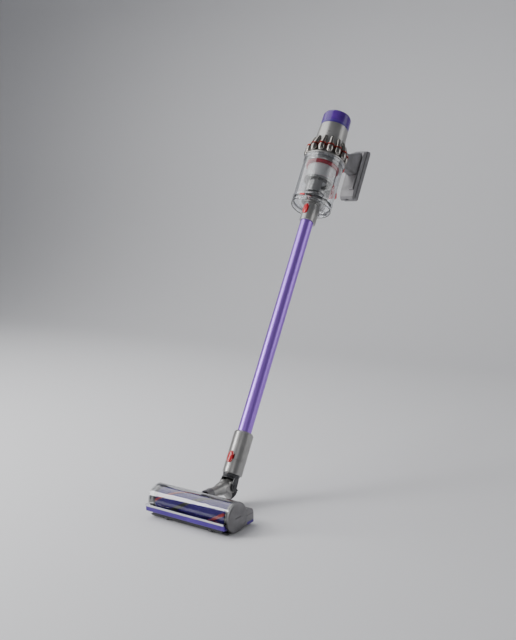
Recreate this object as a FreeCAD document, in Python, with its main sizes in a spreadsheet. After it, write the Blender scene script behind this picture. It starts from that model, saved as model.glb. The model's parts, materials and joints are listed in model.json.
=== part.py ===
import FreeCAD, Part
import math
import os
import Sketcher

# Cordless stick vacuum: a hand-held cyclone body with a grip and battery, a clear dust bin, a wand and
# a motorised floor head on a two-axis neck. Millimetres.
#
# Row frame: X runs along the floor head, -Y is forwards, +Z is up. The origin is on the floor, in the
# middle of the head's felt glide strip. The wand leans back from the vertical.
# Stick frame: its origin is the neck's pitch pin, its Z ("along") runs up the wand, its X is the row's X,
# and its Y ("out") points from the wand to the battery.

doc = FreeCAD.newDocument("stick_vacuum")

SIZES = [
    # floor head
    ("head_half", 125.0, "half the head's length"),
    ("brush_back", 50.0, "brush axis ahead of the origin"),
    ("brush_high", 35.0, "brush axis above the floor"),
    ("cover_high", 37.0, "middle of the clear cover above the floor"),
    ("cover_rad", 36.5, "outside of the clear cover and the end caps"),
    ("cover_wall", 2.0, "wall of the clear cover"),
    ("brush_rad", 26.0, "outside of the brush tube"),
    ("bristle_rad", 31.9, "bristle tips"),
    ("sole_low", 3.0, "underside of the sole plate"),
    ("sole_deep", 4.0, "thickness of the sole plate"),
    ("bumper_low", 18.0, "underside of the front bumper"),
    ("bumper_top", 31.0, "top of the front bumper"),
    ("bumper_front", 98.0, "front of the bumper ahead of the origin"),
    ("head_rear", 14.0, "rear of the head behind the origin"),
    ("rear_high", 43.5, "top of the rear housing"),
    ("slot_half", 107.0, "half the suction slot's length"),
    ("front_wheel_rad", 6.0, "front roller"),
    ("rear_wheel_rad", 8.0, "rear roller"),
    # neck
    ("neck_back", 77.0, "pitch pin behind the origin"),
    ("neck_high", 54.0, "pitch pin and roll axis above the floor"),
    ("arm_rad", 12.8, "neck arm"),
    ("sleeve_rad", 16.4, "sleeve at the elbow end of the neck arm"),
    ("cheek_rad", 14.6, "cheeks of the neck arm round the pitch pin"),
    ("cheek_in", 15.0, "inner face of each cheek from the middle"),
    ("cheek_wall", 2.6, "each cheek of the neck arm"),
    ("ear_rad", 15.4, "ears of the cuff's cone round the pitch pin"),
    ("ear_wall", 3.2, "each ear of the cuff's cone"),
    ("hose_rad", 12.5, "hose at its ribs' roots"),
    ("hose_bend", 21.5, "hose bend on its centre line"),
    # stick
    ("lean", 30.0, "wand's lean from the vertical, degrees"),
    ("duct_rad", 14.0, "air duct"),
    ("spigot_rad", 17.5, "male spigots"),
    ("socket_rad", 17.8, "female sockets"),
    ("cuff_low", 30.0, "lower edge of the cuff"),
    ("cuff_seam", 66.0, "joint between the cuff and the wand"),
    ("collar_rad", 24.5, "cuff and lower collar"),
    ("collar_shift", 6.0, "cable side of the lower collar"),
    ("wand_entry", 143.0, "top of the lower collar"),
    ("tube_rad", 17.5, "wand tube"),
    ("tube_shift", 4.0, "cable side of the wand tube"),
    ("tube_wall", 1.5, "wand tube wall"),
    ("top_collar_low", 770.0, "lower edge of the top collar"),
    ("top_collar_rad", 21.5, "top collar"),
    ("top_collar_shift", 8.0, "cable side of the top collar"),
    ("flap_low", 823.0, "underside of the bin flap"),
    # bin and cyclones
    ("bin_rad", 58.5, "bin outside"),
    ("bin_wall", 2.3, "bin wall"),
    ("bin_low", 830.0, "lower rim of the bin"),
    ("bin_top", 966.0, "upper rim of the bin"),
    ("shroud_rad", 42.0, "perforated shroud"),
    ("shroud_low", 902.0, "lower edge of the perforated part"),
    ("shroud_top", 942.0, "upper edge of the perforated part"),
    ("cone_ring", 55.0, "cyclone cones' circle"),
    ("cone_low", 986.0, "widest part of the cones"),
    ("cone_wide", 10.5, "cone at its widest"),
    # motor body and filter
    ("body_low", 972.0, "bottom of the motor housing"),
    ("body_top", 1083.0, "top of the motor housing"),
    ("body_low_rad", 47.5, "motor housing at the cyclones"),
    ("body_top_rad", 42.8, "motor housing at the filter"),
    ("filter_top", 1127.0, "end of the filter cap"),
    # grip and battery
    ("grip_half", 17.0, "half the grip's width"),
    ("battery_in", 160.0, "battery's face towards the bin"),
    ("battery_split", 180.0, "joint between the battery's two shells"),
    ("battery_out", 202.0, "battery's outer face"),
    ("battery_low", 948.0, "battery's front end"),
    ("battery_top", 1134.0, "battery's rear end"),
    ("battery_half", 23.0, "half the battery's width"),
]

sheet = doc.addObject("Spreadsheet::Sheet", "sizes")
for row, (alias, value, note) in enumerate(SIZES, start=1):
    sheet.set(f"A{row}", note)
    sheet.set(f"B{row}", repr(value))
    sheet.setAlias(f"B{row}", alias)
doc.recompute()


class Size:
    """A length that knows its value and the spreadsheet expression that gives it."""

    def __init__(self, value, text):
        self.value, self.text = float(value), text

    def _join(self, other, sign, value):
        return Size(value, f"({self.text} {sign} {size(other).text})")

    def __add__(self, other):
        return self._join(other, "+", self.value + size(other).value)

    def __sub__(self, other):
        return self._join(other, "-", self.value - size(other).value)

    def __mul__(self, other):
        return self._join(other, "*", self.value * size(other).value)

    def __truediv__(self, other):
        return self._join(other, "/", self.value / size(other).value)

    def __neg__(self):
        return size(0) - self

    def __radd__(self, other):
        return size(other) + self

    def __rsub__(self, other):
        return size(other) - self

    def __rmul__(self, other):
        return size(other) * self


def size(number):
    return number if isinstance(number, Size) else Size(number, repr(float(number)))


class Sizes:
    """The sheet's cells by alias."""


d = Sizes()
for alias, value, note in SIZES:
    setattr(d, alias, Size(value, f"sizes.{alias}"))

UP = FreeCAD.Vector(0, 0, 1)
ROW = FreeCAD.Placement()
STICK = FreeCAD.Placement(
    FreeCAD.Vector(0, d.neck_back.value, d.neck_high.value),
    FreeCAD.Rotation(FreeCAD.Vector(1, 0, 0), -d.lean.value),
)
BRUSH = FreeCAD.Placement(
    FreeCAD.Vector(0, -d.brush_back.value, d.brush_high.value), FreeCAD.Rotation()
)
NODES = []
count = 0


def name(stem):
    """A document name that no other object has."""
    global count
    count += 1
    return f"{stem}_{count}"


def bind(thing, prop, length):
    thing.setExpression(prop, size(length).text)


def node(label, thing, frame=ROW):
    """Makes a finished document object one of the exported sub-parts, in its frame."""
    if frame is not ROW:
        holder = doc.addObject("Part::Compound", name("placed"))
        holder.Links = [thing]
        holder.Placement = frame
        thing = holder
        doc.recompute()
    thing.Label = label
    NODES.append(thing)
    return thing


# ---------------------------------------------------------------- PartDesign pieces


def origin_plane(body, role):
    return next(f for f in body.Origin.OriginFeatures if f.Role == role)


def new_sketch(body, role, offset=0):
    sketch = body.newObject("Sketcher::SketchObject", name("sketch"))
    sketch.AttachmentSupport = [(origin_plane(body, role), "")]
    sketch.MapMode = "FlatFace"
    if size(offset).value:
        bind(sketch, "AttachmentOffset.Base.z", offset)
    return sketch


def pin_point(sketch, geometry, point, place):
    """Fixes one sketch point to two bound distances from the sketch's origin."""
    for kind, length in zip(("DistanceX", "DistanceY"), place):
        length = size(length)
        if abs(length.value) < 1e-9:
            axis = -2 if kind == "DistanceX" else -1
            sketch.addConstraint(Sketcher.Constraint("PointOnObject", geometry, point, axis))
            continue
        index = sketch.addConstraint(
            Sketcher.Constraint(kind, -1, 1, geometry, point, length.value)
        )
        bind(sketch, f"Constraints[{index}]", length)


def draw_outline(sketch, points):
    """A closed outline of straight edges through points bound to the sheet."""
    first = sketch.GeometryCount
    corners = [FreeCAD.Vector(size(a).value, size(b).value, 0) for a, b in points]
    for start, end in zip(corners, corners[1:] + corners[:1]):
        sketch.addGeometry(Part.LineSegment(start, end))
    total = len(points)
    for i in range(total):
        sketch.addConstraint(
            Sketcher.Constraint("Coincident", first + i, 2, first + (i + 1) % total, 1)
        )
    for i, place in enumerate(points):
        pin_point(sketch, first + i, 1, place)


def draw_circle(sketch, radius, place=(0, 0)):
    centre = FreeCAD.Vector(size(place[0]).value, size(place[1]).value, 0)
    index = sketch.addGeometry(Part.Circle(centre, UP, size(radius).value))
    pin_point(sketch, index, 3, place)
    rule = sketch.addConstraint(Sketcher.Constraint("Radius", index, size(radius).value))
    bind(sketch, f"Constraints[{rule}]", radius)


def draw_stadium(sketch, radius, shift):
    """Two half circles, one on the origin and one shifted along the sketch's Y, joined by straight sides."""
    r, top = size(radius).value, size(shift).value
    low = sketch.addGeometry(Part.ArcOfCircle(Part.Circle(FreeCAD.Vector(0, 0, 0), UP, r), math.pi,
        2 * math.pi))
    high = sketch.addGeometry(Part.ArcOfCircle(Part.Circle(FreeCAD.Vector(0, top, 0), UP, r), 0, math.pi))
    right = sketch.addGeometry(Part.LineSegment(FreeCAD.Vector(r, 0, 0), FreeCAD.Vector(r, top, 0)))
    left = sketch.addGeometry(Part.LineSegment(FreeCAD.Vector(-r, top, 0), FreeCAD.Vector(-r, 0, 0)))
    for a, end_a, b, end_b in ((low, 2, right, 1), (right, 2, high, 1), (high, 2, left, 1),
        (left, 2, low, 1)):
        sketch.addConstraint(Sketcher.Constraint("Tangent", a, end_a, b, end_b))
    pin_point(sketch, low, 3, (0, 0))
    pin_point(sketch, high, 3, (0, shift))
    rule = sketch.addConstraint(Sketcher.Constraint("Radius", low, r))
    bind(sketch, f"Constraints[{rule}]", radius)


def new_body(stem="body"):
    return doc.addObject("PartDesign::Body", name(stem))


def revolve(body, sketch, axis, cut=False, degrees=360):
    kind = "Groove" if cut else "Revolution"
    feature = body.newObject(f"PartDesign::{kind}", name(kind.lower()))
    feature.Profile = sketch
    feature.ReferenceAxis = (sketch, [axis])
    feature.Angle = degrees
    doc.recompute()
    return feature


def turned(points, axis="V_Axis", body=None, cut=False):
    """A piece turned about Z from (radius, along) points, or about X from (along, radius) points."""
    body = body or new_body()
    sketch = new_sketch(body, "XZ_Plane")
    draw_outline(sketch, points)
    revolve(body, sketch, axis, cut)
    return body


def extrude(body, sketch, length, cut=False, middle=False, back=False):
    kind = "Pocket" if cut else "Pad"
    feature = body.newObject(f"PartDesign::{kind}", name(kind.lower()))
    feature.Profile = sketch
    if middle:
        feature.SideType = "Symmetric"
    feature.Reversed = back
    bind(feature, "Length", length)
    doc.recompute()
    return feature


def side_plate(points, width, body=None, cut=False):
    """A piece whose (Y, Z) outline runs the same distance to each side of X = 0."""
    body = body or new_body()
    sketch = new_sketch(body, "YZ_Plane")
    draw_outline(sketch, points)
    extrude(body, sketch, width, cut=cut, middle=True)
    return body


def stadium_post(radius, shift, low, high):
    body = new_body()
    sketch = new_sketch(body, "XY_Plane", low)
    draw_stadium(sketch, radius, shift)
    extrude(body, sketch, size(high) - low)
    return body


def soften(body, radius, wanted, kind="Fillet"):
    """Rounds or chamfers those edges of the body's tip for which wanted(edge) is true."""
    tip = body.Tip
    names = [f"Edge{i}" for i, e in enumerate(tip.Shape.Edges, start=1) if wanted(e)]
    feature = body.newObject(f"PartDesign::{kind}", name(kind.lower()))
    feature.Base = (tip, names)
    bind(feature, "Radius" if kind == "Fillet" else "Size", radius)
    doc.recompute()
    return feature


# ---------------------------------------------------------------- Part pieces


def move(thing, place, turn=None):
    if turn:
        thing.Placement = FreeCAD.Placement(FreeCAD.Vector(), turn)
    for letter, length in zip("xyz", place):
        bind(thing, f"Placement.Base.{letter}", length)
    return thing


def box(x, y, z):
    """A box between two bound limits on each axis."""
    thing = doc.addObject("Part::Box", name("box"))
    for prop, (low, high) in zip(("Length", "Width", "Height"), (x, y, z)):
        bind(thing, prop, size(high) - low)
    return move(thing, (x[0], y[0], z[0]))


ALONG_X = FreeCAD.Rotation(FreeCAD.Vector(0, 1, 0), 90)
ALONG_Y = FreeCAD.Rotation(FreeCAD.Vector(1, 0, 0), -90)


def rod(radius, length, place, turn=None):
    thing = doc.addObject("Part::Cylinder", name("rod"))
    bind(thing, "Radius", radius)
    bind(thing, "Height", length)
    return move(thing, place, turn)


def ball(radius, place):
    thing = doc.addObject("Part::Sphere", name("ball"))
    bind(thing, "Radius", radius)
    return move(thing, place)


def oval_dome(along, across, deep, place):
    """An ellipsoid with its axes along Z, X and Y."""
    thing = doc.addObject("Part::Ellipsoid", name("dome"))
    bind(thing, "Radius1", along)
    bind(thing, "Radius2", across)
    bind(thing, "Radius3", deep)
    return move(thing, place)


def cut(base, *tools):
    for tool in tools:
        result = doc.addObject("Part::Cut", name("cut"))
        result.Base, result.Tool = base, tool
        base = result
    doc.recompute()
    return base


def fuse(*pieces):
    if len(pieces) == 1:
        return pieces[0]
    result = doc.addObject("Part::MultiFuse", name("fuse"))
    result.Shapes = list(pieces)
    result.Refine = True
    doc.recompute()
    return result


def common(*pieces):
    result = doc.addObject("Part::MultiCommon", name("common"))
    result.Shapes = list(pieces)
    doc.recompute()
    return result


def made(shape):
    """A piece whose shape is set directly: arrays of one solid, helical strips and swept tubes."""
    thing = doc.addObject("Part::Feature", name("made"))
    thing.Shape = shape
    return thing


def group(*pieces):
    """Separate solids in one node."""
    doc.recompute()
    return made(Part.makeCompound([s.copy() for p in pieces for s in p.Shape.Solids]))


def around(thing, number, skip=()):
    """The same solid repeated evenly round the frame's Z, leaving out the numbered places in skip."""
    doc.recompute()
    copies = []
    for i in range(number):
        if i in skip:
            continue
        copy = thing.Shape.copy()
        copy.rotate(FreeCAD.Vector(), UP, 360.0 * i / number)
        copies += copy.Solids
    return made(Part.makeCompound(copies))


def ring(inner, outer, low, high):
    """A plain ring about Z."""
    return turned([(inner, low), (outer, low), (outer, high), (inner, high)])


def tapered(*sections):
    """A lofted solid through circles: (radius, place, tilt about X) each."""
    rings = []
    for radius, place, tilt in sections:
        circle = doc.addObject("Part::Circle", name("circle"))
        bind(circle, "Radius", radius)
        rings.append(move(circle, place, FreeCAD.Rotation(FreeCAD.Vector(1, 0, 0), tilt)))
    loft = doc.addObject("Part::Loft", name("loft"))
    loft.Sections, loft.Solid, loft.Ruled = rings, True, True
    doc.recompute()
    return loft


def radial(thing, degrees):
    """Turns a finished piece about the frame's Z: 0 degrees faces -Y, positive degrees towards -X."""
    thing.Placement = FreeCAD.Placement(FreeCAD.Vector(),
        FreeCAD.Rotation(UP, -degrees)).multiply(thing.Placement)
    return thing


GAP = 0.4  # between pieces that move past each other
BUTTON_TURN = 5  # the release buttons' turn from the front towards -X, in degrees

# ---------------------------------------------------------------- floor head


def cover_rod(radius, low, high):
    """A round bar along X on the clear cover's axis."""
    return rod(radius, size(high) - low, (low, -d.brush_back, d.cover_high), ALONG_X)


def head_frame():
    """The rear housing with the two end frames that carry the cover, the caps and the brush."""
    inner = d.cover_rad - d.cover_wall
    floor = d.sole_low + d.sole_deep
    rear = side_plate(
        [
            (-35, floor), (d.head_rear, floor), (d.head_rear, d.rear_high - 13),
            (d.head_rear - 1.6, d.rear_high - 7), (d.head_rear - 5, d.rear_high - 2.6),
            (d.head_rear - 10, d.rear_high), (-18, d.rear_high),
        ],
        (d.head_half - 1) * 2,
    )
    skin = cover_rod(d.cover_rad + 0.01, -d.head_half, d.head_half)
    hollow = box(
        (-d.head_half + 14, d.head_half - 14), (-d.brush_back + d.cover_rad + 4, d.head_rear - 3),
        (floor - 1, d.rear_high - 4),
    )
    boss = rod(d.arm_rad + 1.6, 20, (0, -15, d.neck_high), ALONG_Y)
    web = box((-d.arm_rad, d.arm_rad), (-17, 5), (d.rear_high - 6, d.neck_high))
    left_end = cover_rod(inner - 0.3, -d.head_half + 7.4, -d.head_half + 14)
    right_end = cover_rod(inner - 0.3, d.head_half - 14, d.head_half - 7.4)
    foot = box((-d.head_half + 7.4, d.head_half - 7.4), (-40, -8), (floor, 20))
    block = fuse(cut(rear, hollow, skin), boss, web)
    ends = cut(fuse(left_end, right_end), cover_rod(12, -d.head_half, d.head_half))
    chamber = cover_rod(inner, -d.head_half + 14, d.head_half - 14)
    low_end = cut(foot, cover_rod(inner - 0.3, -d.head_half, d.head_half))
    bore = rod(d.arm_rad + 0.05, 60, (0, -30, d.neck_high), ALONG_Y)
    clear_arm = rod(d.arm_rad + 1.4, 30, (0, 4.9, d.neck_high), ALONG_Y)
    port = rod(d.arm_rad - 2, 40, (0, -40, d.neck_high - 4), ALONG_Y)
    flat = box((-d.head_half, d.head_half), (-100, 20), (-5, floor))
    return node("head_frame", cut(fuse(block, ends, low_end), chamber, bore, clear_arm, port, flat))


def arc_shell(outer, inner, low, high, x_low, x_high, centre):
    """Part of a tube along X between two angles, measured from +Y towards +Z, in degrees."""
    arc = doc.addObject("Part::Cylinder", name("arc"))
    bind(arc, "Radius", outer)
    bind(arc, "Height", size(x_high) - x_low)
    arc.Angle = high - low
    # The cylinder's own X axis is laid on the start angle and its Z axis on the row's X.
    turn = FreeCAD.Rotation(FreeCAD.Vector(1, 0, 0), low).multiply(
        FreeCAD.Rotation(FreeCAD.Vector(0, 1, 0), FreeCAD.Vector(0, 0, 1), FreeCAD.Vector(1, 0, 0), "ZXY")
    )
    move(arc, (x_low, centre[0], centre[1]), turn)
    core = rod(inner, size(x_high) - x_low, (x_low, centre[0], centre[1]), ALONG_X)
    return cut(arc, core)


def head_cover():
    """The clear cover over the brush, with its flat front lip."""
    centre = (-d.brush_back, d.cover_high)
    low, high = -d.head_half + 0.6, d.head_half - 7.4
    shell = arc_shell(d.cover_rad, d.cover_rad - d.cover_wall, 11, 188, low, high, centre)
    lip = box((low, high), (-d.bumper_front + 1, -d.brush_back - d.cover_rad + 3),
        (d.bumper_top, d.bumper_top + 2.2))
    core = cover_rod(d.cover_rad - d.cover_wall, -d.head_half, d.head_half)
    port = box((-d.arm_rad - 2.2, d.arm_rad + 2.2), (-d.brush_back + 30, 0), (d.rear_high - 8, d.neck_high + 2))
    return node("head_cover", cut(fuse(shell, lip), core, port))


def head_trim():
    lip = box((-d.head_half + 0.6, d.head_half - 7.4), (-d.bumper_front - 0.4, -d.bumper_front + 0.9),
        (d.bumper_top - 1.6, d.bumper_top + 2.8))
    node("front_lip", lip)
    bumper = side_plate(
        [
            (-d.bumper_front - 1.5, d.bumper_low + 2), (-d.bumper_front, d.bumper_low),
            (-d.bumper_front + 9, d.bumper_low), (-d.bumper_front + 9, d.bumper_low + 3),
            (-d.bumper_front + 3, d.bumper_low + 3), (-d.bumper_front + 3, d.bumper_top - 1.7),
            (-d.bumper_front - 1.5, d.bumper_top - 1.7),
        ],
        d.head_half * 2 - 9,
    )
    node("front_bumper", bumper)


def sole_plate():
    """The purple sole with the suction slot, the wheel pockets and the front bar under the bumper."""
    top = d.sole_low + d.sole_deep
    plate = side_plate(
        [
            (-d.bumper_front + 10, d.sole_low + 6), (-d.bumper_front + 15, d.sole_low),
            (d.head_rear - 1, d.sole_low),
            (d.head_rear + 1, d.sole_low + 2), (d.head_rear + 1, top), (-d.brush_back - 32, top),
            (-d.bumper_front + 13, d.bumper_low), (-d.bumper_front + 7, d.bumper_low),
        ],
        (d.head_half - 8) * 2,
    )
    slot = box((-d.slot_half, d.slot_half), (-d.brush_back - 23, -d.brush_back + 22), (0, top + 1))
    chamber = cover_rod(d.cover_rad - d.cover_wall, -d.slot_half, d.slot_half)
    caps = [box((s * d.head_half - 18, s * d.head_half + 18), (-95, -8), (top, 30)) for s in (-1, 1)]
    pockets = []
    for x in (-68, 68):
        pockets.append(box((x - 7, x + 7), (-d.brush_back - 38, -d.brush_back - 24), (0, 14.6)))
        pockets.append(box((x - 6, x + 6), (d.head_rear - 21.5, d.head_rear - 1.5), (0, top + 1)))
    felt = box((-45, 45), (-5, 5), (0, d.sole_low + 1))
    return node("sole_plate", cut(plate, slot, chamber, *caps, *pockets, felt))


def felt_strip():
    return node("felt_strip", box((-44.9, 44.9), (-4.9, 4.9), (0, d.sole_low + 1)))


def wheels():
    """Two pairs of rollers, each pair on one axle line, and the steel axles and screws of the sole."""
    front_y, rear_y = -d.brush_back - 31, d.head_rear - 11.5
    pieces = []
    rows = (("front", front_y, d.front_wheel_rad, 5.4), ("rear", rear_y, d.rear_wheel_rad, 5))
    for place, y, radius, half in rows:
        pair = []
        for x in (-68, 68):
            outline = [
                (1.55, -half), (radius - 1.2, -half), (radius, -half + 1.2), (radius, half - 1.2),
                (radius - 1.2, half), (1.55, half),
            ]
            pair.append(move(turned(outline), (x, y, radius + 0.3), ALONG_X))
            pieces.append(rod(1.5, half * 2 + 6, (x - half - 3, y, radius + 0.3), ALONG_X))
        node(f"{place}_wheels", group(*pair))
    for x in (-95, -30, 30, 95):
        shank = rod(1.4, 8, (x, -d.brush_back - 29, 5))
        head = rod(2.8, 2, (x, -d.brush_back - 29, d.sole_low))
        pieces.append(fuse(shank, head))
    node("head_steelware", group(*pieces))


def end_cap(label, outer, thick, side, slotted):
    """A round end cap with a rounded rim and the brush's bearing hub on its inner face, flat underneath."""
    face = d.head_half * side
    disc = turned(
        [(0, 0), (thick - 0.8, 0), (thick, 1.2), (thick, outer - 3), (thick - 1, outer - 0.9),
        (thick - 3, outer),
         (0, outer), (0, outer - 2.4), (thick - 2.6, outer - 4), (thick - 2.6, 12), (0, 11)],
        "H_Axis",
    )
    hub = fuse(rod(10, 6, (-3, 0, d.brush_high - d.cover_high), ALONG_X),
               rod(4.9, 7, (-9, 0, d.brush_high - d.cover_high), ALONG_X))
    low = box((-20, thick + 2), (-40, 40), (-d.cover_rad - 2, -d.cover_high + d.sole_low))
    cap = cut(fuse(disc, hub), low)
    if slotted:
        cap = cut(cap, box((thick - 1.4, thick + 1), (-11, 11), (-1.1, 1.1)))
    turn = FreeCAD.Rotation(UP, 0 if side > 0 else 180)
    place = FreeCAD.Vector((face - side * thick).value, -d.brush_back.value, d.cover_high.value)
    node(label, cap, FreeCAD.Placement(place, turn))


def end_caps():
    end_cap("right_end_cap", d.cover_rad, 7.0, 1, True)
    end_cap("left_end_cap", d.cover_rad - d.cover_wall - 0.3, 7.4, -1, False)


def helix_strip(radius_low, radius_high, wide, low, high, start, degrees):
    """A thin strip standing on the brush and wound round it."""
    steps = 12
    pieces = []
    for i in range(steps + 1):
        share = i / steps
        angle = math.radians(start + degrees * share)
        half = wide / 2
        corners = []
        for r, w in ((radius_low, -half), (radius_low, half), (radius_high, half), (radius_high, -half)):
            a = angle + w / radius_high
            corners.append(FreeCAD.Vector(low + (high - low) * share, r * math.cos(a), r * math.sin(a)))
        pieces.append(Part.makePolygon(corners + corners[:1]))
    return Part.makeLoft(pieces, True, False)


def brush():
    half = d.head_half - 15
    tube = turned(
        [(-half, 5.0), (half, 5.0), (half, d.brush_rad - 1),
         (half - 1, d.brush_rad), (-half + 1, d.brush_rad), (-half, d.brush_rad - 1)],
        "H_Axis",
    )
    node("brush_tube", tube, BRUSH)
    reach = half.value - 4
    low, high = d.brush_rad.value, d.bristle_rad.value
    plush = turned(
        [(-reach, d.brush_rad), (reach, d.brush_rad), (reach, d.bristle_rad - 1.2),
        (-reach, d.bristle_rad - 1.2)],
        "H_Axis",
    )
    red = [helix_strip(low, high, 5, -reach, reach, start, -225) for start in (165, 380)]
    dark = [helix_strip(low, high, 10, -reach, reach, start, -225) for start in (250, 70)]
    node("brush_plush", plush, BRUSH)
    node("red_bristles", made(Part.makeCompound(red)), BRUSH)
    node("carbon_strips", made(Part.makeCompound(dark)), BRUSH)


def brush_motor():
    """The motor that drives the brush, behind the brush chamber."""
    can = rod(9, 62, (-96, 1, 27), ALONG_X)
    pinion = rod(3, 8, (-105, 1, 27), ALONG_X)
    return node("brush_motor", fuse(can, pinion))


# ---------------------------------------------------------------- neck


def neck_arm():
    """The air duct from the head to the elbow, with the two cheeks that carry the pitch pins."""
    rest, pivot = d.neck_high, d.neck_back
    duct_end = rest - d.hose_bend
    outer = fuse(
        rod(d.arm_rad, pivot - 16, (0, -13, rest), ALONG_Y),
        tapered((d.arm_rad + 0.4, (0, 32, rest), -90), (d.sleeve_rad, (0, 44, rest), -90),
                (d.sleeve_rad, (0, 59, rest - 1), -90), (d.hose_rad + 1.6, (0, pivot - 1, duct_end), -90)),
    )
    inner = fuse(
        rod(d.arm_rad - 2.2, 60, (0, -14, rest), ALONG_Y),
        tapered((d.arm_rad - 2.2, (0, 44, rest), -90), (d.sleeve_rad - 3, (0, 58, rest - 2), -90),
                (d.hose_rad, (0, pivot - 0.9, duct_end), -90)),
    )
    cheeks = []
    for side in (-1, 1):
        start = d.cheek_in if side > 0 else -d.cheek_in - d.cheek_wall
        disc = rod(d.cheek_rad, d.cheek_wall, (start, pivot, rest), ALONG_X)
        link = side_plate(
            [(50, rest - 7), (pivot, rest - d.cheek_rad), (pivot, rest + d.cheek_rad),
            (50, rest + 7)], d.cheek_wall
        )
        move(link, (start + d.cheek_wall / 2, 0, 0))
        cheeks.append(fuse(disc, link))
    hood = arc_shell(d.cheek_rad, d.cheek_rad - 2, 92, 185, -d.cheek_in - 0.5, d.cheek_in + 0.5,
        (pivot, rest))
    pins = rod(3.5, 60, (-30, pivot, rest), ALONG_X)
    return node("neck_arm", cut(fuse(outer, hood, *cheeks), inner, pins))


def neck_bellows():
    """The corrugated hose round the pitch pins, from the arm's duct to the cuff."""
    def bent(radius, degrees, start):
        body = new_body()
        sketch = new_sketch(body, "XY_Plane")
        draw_circle(sketch, radius, (0, -d.hose_bend))
        revolve(body, sketch, "H_Axis", degrees=degrees)
        body.Placement = FreeCAD.Placement(
            FreeCAD.Vector(0, d.neck_back.value, d.neck_high.value),
            FreeCAD.Rotation(FreeCAD.Vector(1, 0, 0), 90 + start),
        )
        return body

    sweep = 90 - d.lean.value
    ribs = 6
    pieces = [bent(d.hose_rad, sweep - 1, 0.5)]
    for i in range(ribs):
        pieces.append(bent(d.hose_rad + 1.8, sweep / ribs / 2, sweep / ribs * (i + 0.25)))
    return node("neck_bellows", cut(fuse(*pieces), bent(d.hose_rad - 1.4, sweep + 4, -2)))


def pitch_pins():
    """Two pins, fixed in the arm's cheeks, on which the cuff's ears turn."""
    reach = d.cheek_in + d.cheek_wall + 0.3 + d.ear_wall
    pins = []
    for side in (-1, 1):
        start = d.cheek_in if side > 0 else -reach
        shank = rod(3.5, reach - d.cheek_in, (start, d.neck_back, d.neck_high), ALONG_X)
        head = rod(5, 0.9, (reach + 0.3 if side > 0 else -reach - 1.2, d.neck_back, d.neck_high), ALONG_X)
        stem = rod(3.5, 0.4, (reach - 0.05 if side > 0 else -reach - 0.35, d.neck_back, d.neck_high), ALONG_X)
        pins.append(fuse(shank, stem, head))
    return node("pitch_pins", group(*pins))


def neck_cuff():
    """The dark cone with its ears and the cuff whose spigot goes into the wand."""
    outer = tapered((d.hose_rad + 2.2, (0, d.hose_bend, 1), 0), (19.6, (0, 7, 18.5), 0),
        (d.cuff_low - 7.2, (0, 1.5, d.cuff_low), 0))
    inner = tapered((d.hose_rad + 0.2, (0, d.hose_bend, 0.9), 0), (16, (0, 7, 18.5), 0),
        (d.duct_rad, (0, 0, d.cuff_low + 0.1), 0))
    low = d.cheek_in + d.cheek_wall + 0.3
    ears = []
    for side in (-1, 1):
        start = low if side > 0 else -low - d.ear_wall
        disc = rod(d.ear_rad, d.ear_wall, (start, 0, 0), ALONG_X)
        link = side_plate([(-d.ear_rad, 0), (d.ear_rad, 0), (12, 24), (-10, 24)], d.ear_wall)
        move(link, (start + d.ear_wall / 2, 0, 0))
        ears.append(fuse(disc, link))
    brow = side_plate([(-15, 17.2), (15, 17.2), (14, 27), (-14, 27)], (low + 0.5) * 2)
    pins = rod(3.55, 60, (-30, 0, 0), ALONG_X)
    knuckle_room = rod(d.cheek_rad + 0.6, low * 2 - 0.1, (-low + 0.05, 0, 0), ALONG_X)
    node("neck_cone", cut(fuse(outer, brow, *ears), inner, pins, knuckle_room), STICK)
    shell = stadium_post(d.collar_rad, d.collar_shift, d.cuff_low, d.cuff_seam)
    soften(shell, 2.5, lambda e: all(abs(v.Z - d.cuff_low.value) < 0.01 for v in e.Vertexes))
    bore = rod(d.spigot_rad, 60, (0, 0, d.cuff_low + 4))
    lead = rod(d.duct_rad, 10, (0, 0, d.cuff_low - 2))
    spigot = ring(d.duct_rad, d.spigot_rad, d.cuff_low + 4, d.cuff_seam + 42)
    hole = button_hole(70.5, d.collar_rad, BUTTON_TURN)
    node("cuff_shell", cut(fuse(cut(shell, bore, lead), spigot), hole), STICK)


def button_outline(half_high, half_wide, middle, low, high, grow=0.0):
    """An upright oval post reaching from radius low to radius high along -Y."""
    high_end = rod(half_wide + grow, high - low, (0, -high, middle + (half_high - half_wide)), ALONG_Y)
    low_end = rod(half_wide + grow, high - low, (0, -high, middle - (half_high - half_wide)), ALONG_Y)
    block = box((-half_wide - grow, half_wide + grow), (-high, -low),
                (middle - (half_high - half_wide), middle + (half_high - half_wide)))
    return fuse(high_end, low_end, block)


def button_hole(middle, radius, degrees):
    hole = button_outline(15.5, 8, size(middle), radius - 9, radius + 6, GAP)
    return radial(hole, degrees)


def push_button(middle, radius, degrees):
    """An oval button with a domed face."""
    post = button_outline(15.5, 8, size(middle), radius - 5.6, radius + 0.6)
    dome = oval_dome(15.5, 8, 3, (0, -radius - 0.6, middle))
    return radial(fuse(post, dome), degrees)


# ---------------------------------------------------------------- wand


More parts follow.
